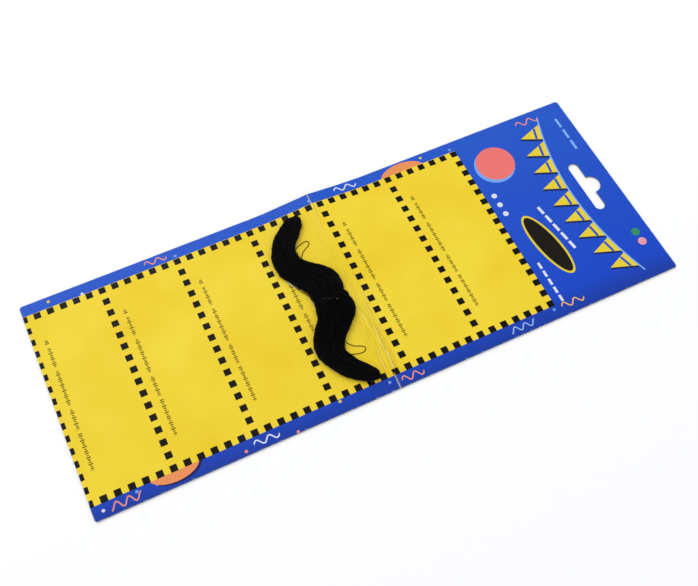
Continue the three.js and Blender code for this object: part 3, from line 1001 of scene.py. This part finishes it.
def strand_mesh(name, lines, thickness, tone):
    """Lines is an array of hairs by RINGS + 1 points; thickness and tone hold one number for each hair."""
    count = len(lines)
    along = lines[:, -1] - lines[:, 0]
    along /= np.linalg.norm(along, axis=1)[:, None]
    sideways = np.cross(along, (0, 0, 1))
    sideways /= np.linalg.norm(sideways, axis=1)[:, None] + 1e-9
    upwards = np.cross(along, sideways)
    verts = np.empty((count, SIDES * RINGS + 1, 3))
    for ring in range(RINGS):
        radius = (thickness / 2 * TAPER[ring])[:, None]
        for side in range(SIDES):
            angle = 2 * math.pi * side / SIDES
            turned = math.cos(angle) * sideways + math.sin(angle) * upwards
            verts[:, ring * SIDES + side] = lines[:, ring] + radius * turned
    verts[:, -1] = lines[:, -1]
    faces, corners = strand_pattern()
    corner_verts = np.concatenate(faces)
    sizes = np.array([len(face) for face in faces])
    mesh = bpy.data.meshes.new(name)
    mesh.vertices.add(count * verts.shape[1])
    mesh.loops.add(count * len(corner_verts))
    mesh.polygons.add(count * len(faces))
    mesh.vertices.foreach_set("co", verts.ravel())
    first_verts = np.arange(count)[:, None] * verts.shape[1]
    mesh.loops.foreach_set("vertex_index", (first_verts + corner_verts).ravel())
    starts = np.cumsum(sizes) - sizes
    first_corners = np.arange(count)[:, None] * len(corner_verts)
    mesh.polygons.foreach_set("loop_start", (first_corners + starts).ravel())
    mesh.update(calc_edges=True)
    squares = math.ceil(math.sqrt(count))
    cell = np.stack([np.arange(count) % squares, np.arange(count) // squares], axis=1)
    uv = (cell[:, None, :] + np.concatenate(corners)[None]) / squares
    mesh.uv_layers.new(name="OFBake").uv.foreach_set("vector", uv.ravel())
    # The tone is painted darker towards each hair's root: a painted shade deep in the pile.
    tone_with_root_shade = mesh.attributes.new("tone", "FLOAT", "POINT")
    ring_of_vert = np.append(np.repeat(np.arange(RINGS), SIDES), RINGS) / RINGS
    tone_with_root_shade.data.foreach_set("value", (tone[:, None] * (0.35 + 0.65 * ring_of_vert)).ravel())
    mesh.shade_smooth()
    mesh.validate()
    strands = bpy.data.objects.new(name, mesh)
    bpy.context.scene.collection.objects.link(strands)
    return strands


# %% [markdown]
# ## Combing the pile
#
# The fibres of this plush lie along the wings, from the middle to the tips, and stick together in locks.
# A hair starts at a random root, rises quickly, then lies down and follows the strip's own curve. It is
# drawn towards the middle line of the nearest lock, so partings open between the locks. The staple
# presses the long fibres down along its crown, and the others close over it. The outline itself is cut
# into small tufts: each grows a little wider towards the wing's tip, where it ends in a step.

# %% Comb one layer of hairs
PARTING = 1.8 * MM
ROOT_MARGIN = 0.5 * MM
MOUTH_SEED, NOSE_SEED = 21, 22
TUFT_LENGTH = (1.3 * MM, 3.6 * MM)
TUFT_DEPTH = 0.42 * MM
TUFT_ZONE = 1.6 * MM
END_CUT = {1: 1.3 * MM, -1: 0.1 * MM}
END_RAGGED = 0.7 * MM
WING_WIDTH = 16 * MM
LOCK_STRETCH = 2.4
STAPLE_MIDDLE = Vector((-14.4 * MM, -2.9 * MM))
STAPLE_TURN = math.radians(-25.5)
STAPLE_CROWN = 9 * MM
STAPLE_HEIGHT = 3.6 * MM
STAPLE_COVER = 0.9 * MM
STAPLE_PRESS = 2.1 * MM
OVER_CROWN = (0.3 * MM, 0.8 * MM)
DRAWN_OVER = 1.2 * MM


def even_shares(random, count):
    """Shares along one wing, from just past the middle to the tip, as dense as the strip is wide."""
    steps = np.linspace(-PARTING / half_span, 1, 400)
    filled = np.cumsum(strip_width(steps))
    return np.interp(random.random(count) * filled[-1], filled, steps)


def staple_distance(x, y):
    """Distance from the staple's crown, measured along the card."""
    run_x, run_y = math.cos(STAPLE_TURN), math.sin(STAPLE_TURN)
    run = (x - STAPLE_MIDDLE.x) * run_x + (y - STAPLE_MIDDLE.y) * run_y
    beside = (x - STAPLE_MIDDLE.x) * run_y - (y - STAPLE_MIDDLE.y) * run_x
    past_end = np.maximum(0, np.abs(run) - STAPLE_CROWN / 2)
    return np.hypot(past_end, beside)


def tuft_steps(share, seed):
    """Which tuft of an edge a point lies in, and how far along it, from 0 to 1 towards the wing's tip."""
    random = np.random.default_rng(seed)
    ends = np.cumsum(random.uniform(*TUFT_LENGTH, int(2 * half_span / TUFT_LENGTH[0]) + 1))
    starts = np.append(0, ends[:-1])
    position = np.clip(share + 1, 0, 2) * half_span
    tuft = np.searchsorted(ends, position)
    within = (position - starts[tuft]) / (ends[tuft] - starts[tuft])
    return tuft, np.where(share > 0, within, 1 - within)


def tuft_out(share, seed):
    """How far the tuft at a share reaches past the cut line. Where it is negative there is a notch."""
    tuft, within = tuft_steps(share, seed)
    reach = np.random.default_rng(seed + 50).uniform(-1, 1, tuft.max() + 1)
    return TUFT_DEPTH * (reach[tuft] + within - 0.5)


def comb(wing, count, seed, length, lock_pitch, gather, low, high, fuzz):
    """Centre lines of the hairs of one wing, and the number of the lock that each belongs to."""
    random = np.random.default_rng(seed)
    share = even_shares(random, count) * wing
    width = strip_width(share)
    margin = ROOT_MARGIN / width
    across = margin + (1 - 2 * margin) * random.random(count)

    lock_count = int(half_span * WING_WIDTH / lock_pitch**2)
    lock_share = even_shares(random, lock_count) * wing
    lock_across = random.random(lock_count)
    lock_lean = random.normal(0, 0.35, lock_count)
    lock_spread = random.uniform(0.2, 2.4, lock_count)
    lock_rise = random.uniform(0.86, 1.04, lock_count)
    along_gap = (share[:, None] - lock_share) * half_span / LOCK_STRETCH
    across_gap = across[:, None] * width[:, None] - lock_across * strip_width(lock_share)
    lock = np.argmin(along_gap**2 + across_gap**2, axis=1)

    run = length * random.uniform(0.7, 1.15, count) / half_span
    end = 1 - (END_CUT[wing] + END_RAGGED * random.random(count)) / half_span
    tip_share = np.minimum(end, np.abs(share) * np.sign(share * wing) + run) * wing
    tip_width = strip_width(tip_share)
    drawn = (lock_across[lock] - across) * gather * (1 - np.abs(2 * across - 1) ** 3)
    lean = lock_lean[lock] * MM / tip_width + random.normal(0, 0.28 * MM, count) / tip_width
    stray = np.abs(random.normal(0, fuzz, count)) * lock_spread[lock] / tip_width
    mouth_tuft = tuft_out(tip_share, MOUTH_SEED) / tip_width
    nose_tuft = tuft_out(tip_share, NOSE_SEED) / tip_width
    tip_across = across + drawn + lean
    tip_across -= mouth_tuft * np.clip(1 - tip_across * tip_width / TUFT_ZONE, 0, 1)
    tip_across += nose_tuft * np.clip(1 - (1 - tip_across) * tip_width / TUFT_ZONE, 0, 1)
    tip_across = np.clip(tip_across, -stray - mouth_tuft, 1 + stray + nose_tuft)

    reach = lock_rise[lock] * random.uniform(low, high, count)
    pressed = STAPLE_HEIGHT - plush_base + random.uniform(*OVER_CROWN, count)
    lines = np.empty((count, RINGS + 1, 3))
    for ring, t in enumerate(np.linspace(0, 1, RINGS + 1)):
        at_share = share + (tip_share - share) * t
        at_across = across + (tip_across - across) * t**1.3
        x, y = strip_place(at_share, at_across)
        rise = 1 - (1 - t) ** 2.1
        height = plush_height(at_share, at_across) * reach * rise
        near = np.clip((staple_distance(x, y) - STAPLE_COVER) / (STAPLE_PRESS - STAPLE_COVER), 0, 1)
        held = pressed + (height - pressed) * near**2 * (3 - 2 * near)
        height = np.where(height > pressed - DRAWN_OVER, held, height)
        lines[:, ring] = np.stack([x, y, plush_base + height + fold_lift(x, y)], axis=1)
    return lines, lock


# %% Comb the two wings
# name, wing, seed, hair length and lock pitch (mm), gather, lowest and highest share of the pile, fuzz (mm)
PILE_LAYERS = [
    ("far_wing_underpile", 1, 11, 3.2, 2.0, 0.25, 0.45, 0.98, 0.12),
    ("near_wing_underpile", -1, 12, 3.2, 2.0, 0.25, 0.45, 0.98, 0.12),
    ("far_wing_locks", 1, 13, 5.0, 3.0, 0.62, 0.92, 1.07, 0.16),
    ("near_wing_locks", -1, 14, 5.0, 3.0, 0.62, 0.92, 1.07, 0.16),
]
HAIRS = 12000
FINEST = 0.055 * MM
COARSEST = 0.1 * MM

pile_finish = black_pile()


def grow_layer(name, lines, lock, seed):
    """Dyes each lock a little differently and makes the hairs one piece."""
    count = len(lines)
    random = np.random.default_rng(seed)
    lock_tone = random.uniform(0.25, 0.8, lock.max() + 1)
    tone = np.clip(lock_tone[lock] + random.normal(0, 0.12, count), 0, 1)
    strands = strand_mesh(name, lines, random.uniform(FINEST, COARSEST, count), tone)
    strands.data.materials.append(pile_finish)
    finish_piece(strands, name, "black_plush")


for name, wing, seed, length, pitch, gather, low, high, fuzz in PILE_LAYERS:
    lines, lock = comb(wing, HAIRS, seed, length * MM, pitch * MM, gather, low, high, fuzz * MM)
    grow_layer(name, lines, lock, seed + 100)

# %% [markdown]
# The cut edge is never clean: fibres that were rooted beside the cut have nothing to lean on, so they
# spread over it and hang down past the film, in small tufts of uneven reach. They get two fringes of
# their own, one for the mouth edge and one for the nose edge. They follow the same tufts as the pile
# above them, and at the tips some hairs fan out.

# %% Hang a fringe over the cut edge
FRINGE_HAIRS = 5600
FRINGE_RUN = (1.2 * MM, 2.8 * MM)
FRINGE_ROOTS = (0.05 * MM, 0.95 * MM)
END_SHARE = 0.1


def fringe(side, reach, seed):
    """Centre lines of the hairs along one edge. Side is -1 for the mouth edge and 1 for the nose edge."""
    random = np.random.default_rng(seed)
    at_end = random.random(FRINGE_HAIRS) < END_SHARE
    share = random.uniform(-1, 1, FRINGE_HAIRS)
    wing = np.sign(share)
    end = 1 - np.where(wing > 0, END_CUT[1], END_CUT[-1]) / half_span
    share = np.where(at_end, end - 0.03 * random.random(FRINGE_HAIRS), np.minimum(end, np.abs(share))) * wing
    notch = np.maximum(0, -tuft_out(share, seed))
    inside = (random.uniform(*FRINGE_ROOTS, FRINGE_HAIRS) + notch) / strip_width(share)
    inside = np.where(at_end, random.uniform(0, 0.6, FRINGE_HAIRS), inside)
    across = 0.5 + side * (0.5 - inside)

    run = random.uniform(*FRINGE_RUN, FRINGE_HAIRS) / half_span
    limit = end + reach * random.uniform(0.2, 1.2, FRINGE_HAIRS) / half_span
    tip_share = np.minimum(np.abs(share) + run, limit) * wing
    out = reach * random.uniform(0.2, 1.2, FRINGE_HAIRS) + tuft_out(tip_share, seed)
    tip_across = 0.5 + side * (0.5 + out / strip_width(tip_share) - 0.8 * inside * at_end)

    edge_height = plush_height(share, across)
    root_height = edge_height * random.uniform(0.2, 0.95, FRINGE_HAIRS)
    tip_height = root_height - random.uniform(0.1, 1.5, FRINGE_HAIRS) * edge_height
    tip_height = np.maximum(tip_height, BOARD + COARSEST - plush_base)
    lines = np.empty((FRINGE_HAIRS, RINGS + 1, 3))
    for ring, t in enumerate(np.linspace(0, 1, RINGS + 1)):
        at_share = share + (tip_share - share) * t
        at_across = across + (tip_across - across) * t**1.2
        x, y = strip_place(at_share, at_across)
        height = root_height + (tip_height - root_height) * t**2
        lines[:, ring] = np.stack([x, y, plush_base + height + fold_lift(x, y)], axis=1)
    return lines, tuft_steps(share, seed)[0]


FRINGES = [("mouth_edge_fringe", -1, 0.14 * MM, MOUTH_SEED), ("nose_edge_fringe", 1, 0.26 * MM, NOSE_SEED)]
for name, side, reach, seed in FRINGES:
    lines, tuft = fringe(side, reach, seed)
    grow_layer(name, lines, tuft, seed + 100)

# %% [markdown]
# ## Loose threads
#
# Two loops of thread have pulled out of the plush's back and lie on the card, and a bow of it hugs the
# mouth edge. A thread this thin is best drawn as a curve through a few points, given a round section,
# and turned into a mesh.

# %% Lay the threads
THREAD = 0.38 * MM
THREADS = {
    "upper_thread_loop": [(-20, 31), (-17.6, 32.6), (-14.4, 33.8), (-11.6, 34.4), (-10, 33.6), (-10.3, 31.9),
                          (-12.1, 30.7), (-14, 29.8), (-15.8, 28.5), (-17.4, 26)],
    "lower_thread_loop": [(-18, -24), (-17.1, -26.8), (-14.7, -30.3), (-11.2, -31.6), (-9.3, -33.1),
                          (-10.3, -35.2), (-13.8, -35.3), (-18.5, -33.4)],
    "mouth_thread_bow": [(-28.4, 15.6), (-27.7, 14), (-27.1, 12.6), (-26.5, 10.9), (-25.4, 8.5), (-24.2, 6.4),
                         (-23.2, 4.4), (-21.8, 2.2)],
}


def thread_finish():
    material, tree = new_material("black_sewing_thread")
    place = place_in_mm(tree)
    twist = add(tree, "TexNoise", {"Vector": place, "Scale": 4, "Detail": 3}, take="Fac")
    colour = ramp(tree, twist, [(0.3, "#0C0A06"), (0.7, "#221D10")])
    finish_material(tree, Base_Color=colour, Roughness=0.7, Specular_IOR_Level=0.2)
    return material


def round_wire(name, points, thickness, steps=8, kind="NURBS"):
    """A mesh tube along points in metres."""
    curve = bpy.data.curves.new(name, "CURVE")
    curve.dimensions = "3D"
    curve.bevel_depth = thickness / 2
    curve.bevel_resolution = 2
    curve.resolution_u = steps
    curve.use_fill_caps = True
    spline = curve.splines.new(kind)
    spline.points.add(len(points) - 1)
    for point, place in zip(spline.points, points):
        point.co = (*place, 1)
    if kind == "NURBS":
        spline.order_u = 3
        spline.use_endpoint_u = True
    wire = bpy.data.objects.new(name, curve)
    bpy.context.scene.collection.objects.link(wire)
    pick(wire)
    bpy.ops.object.convert(target="MESH")
    wire = bpy.context.active_object
    wire.data.shade_smooth()
    return wire


thread_material = thread_finish()
for name, route in THREADS.items():
    places = [(x * MM, y * MM, BOARD + THREAD / 2 + fold_lift(x * MM, y * MM)) for x, y in route]
    thread = round_wire(name, places, THREAD)
    thread.data.materials.append(thread_material)
    finish_piece(thread, name, "black_plush")

# %% [markdown]
# ## The staple
#
# One office staple goes through plush, film, paper and card. Its crown has sunk into the pile, and its legs
# are bent inwards under the card. The wire is drawn steel with a zinc coat, so it is a metal with a fine
# grain. Its route runs through six points, and each of the four bends between them is rounded by a short arc
# of points.

# %% Bend the staple
WIRE = 0.44 * MM
WIRE_BEND = 0.6 * MM
CLINCH = 3.2 * MM
ARC_STEPS = 6


def on_staple(run, height):
    x = STAPLE_MIDDLE.x + run * math.cos(STAPLE_TURN)
    y = STAPLE_MIDDLE.y + run * math.sin(STAPLE_TURN)
    return Vector((x, y, height + float(fold_lift(x, y))))


def rounded_route(corners, bend):
    route = [corners[0]]
    for before, corner, after in zip(corners, corners[1:], corners[2:]):
        start = corner + (before - corner).normalized() * bend
        end = corner + (after - corner).normalized() * bend
        for step in range(ARC_STEPS + 1):
            t = step / ARC_STEPS
            route.append(start.lerp(corner, t).lerp(corner.lerp(end, t), t))
    return route + [corners[-1]]


def galvanised_wire():
    material, tree = new_material("galvanised_drawn_wire")
    place = place_in_mm(tree)
    grain = add(tree, "TexNoise", {"Vector": place, "Scale": 6, "Detail": 4}, take="Fac")
    colour = ramp(tree, grain, [(0.3, "#9A9DA1"), (0.7, "#C9CCD0")])
    rough = add(tree, "MapRange", {"Value": grain, "To Min": 0.25, "To Max": 0.42})
    finish_material(tree, Base_Color=colour, Roughness=rough, Metallic=1)
    return material


half_crown = STAPLE_CROWN / 2
corners = [
    on_staple(CLINCH - half_crown, 0),
    on_staple(-half_crown, 0),
    on_staple(-half_crown, STAPLE_HEIGHT),
    on_staple(half_crown, STAPLE_HEIGHT),
    on_staple(half_crown, 0),
    on_staple(half_crown - CLINCH, 0),
]
staple = round_wire("staple_wire", rounded_route(corners, WIRE_BEND), WIRE, kind="POLY")
staple.data.materials.append(galvanised_wire())
finish_piece(staple, "clinched_staple", "staple_wire", "staple")

# %% [markdown]
# ## Table and light
#
# The photograph was taken on white paper in soft daylight from the far left. A wide lamp there casts the
# short soft shadow on the near right of the moustache and adds to the sheen of the far margin, which is also
# painted into the blue ink, and a pale sky fills the rest. The floor is a plain pale sheet.

# %% Floor, sky and lamps
deselect()
bpy.ops.mesh.primitive_plane_add(size=6, location=(0, 0, -0.1 * MM))
floor = bpy.context.active_object
floor.name = "pale_table"
floor_material, floor_tree = new_material("matt_white_paper")
finish_material(floor_tree, Base_Color=linear("#FBFBFB"), Roughness=0.9, Specular_IOR_Level=0.1)
floor.data.materials.append(floor_material)
floor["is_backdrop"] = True


def soft_lamp(name, place, aim, size, power):
    lamp_data = bpy.data.lights.new(name, "AREA")
    lamp_data.shape = "DISK"
    lamp_data.size = size
    lamp_data.energy = power
    lamp = bpy.data.objects.new(name, lamp_data)
    bpy.context.scene.collection.objects.link(lamp)
    lamp.location = place
    lamp.rotation_euler = (Vector(place) - Vector(aim)).to_track_quat("Z", "Y").to_euler()
    return lamp


soft_lamp("window_light", (-0.35, 1.3, 1.3), (0, 0, 0), 1.7, 17)
soft_lamp("fill_light", (1.4, -0.9, 1.6), (0, 0, 0), 1.6, 6)
world = bpy.data.worlds.new("pale_sky")
bpy.context.scene.world = world
world.use_nodes = True
world.node_tree.nodes["Background"].inputs["Color"].default_value = linear("#FAFBFF")
world.node_tree.nodes["Background"].inputs["Strength"].default_value = 0.72
bpy.context.scene.view_settings.view_transform = "Standard"

# %% [markdown]
# ## The size
#
# The dressed model has to fill the same box as the measured one, so its box is printed.

# %% Print the dressed box
low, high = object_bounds()
print("dressed box in mm:", [round(side / MM, 2) for side in high - low])
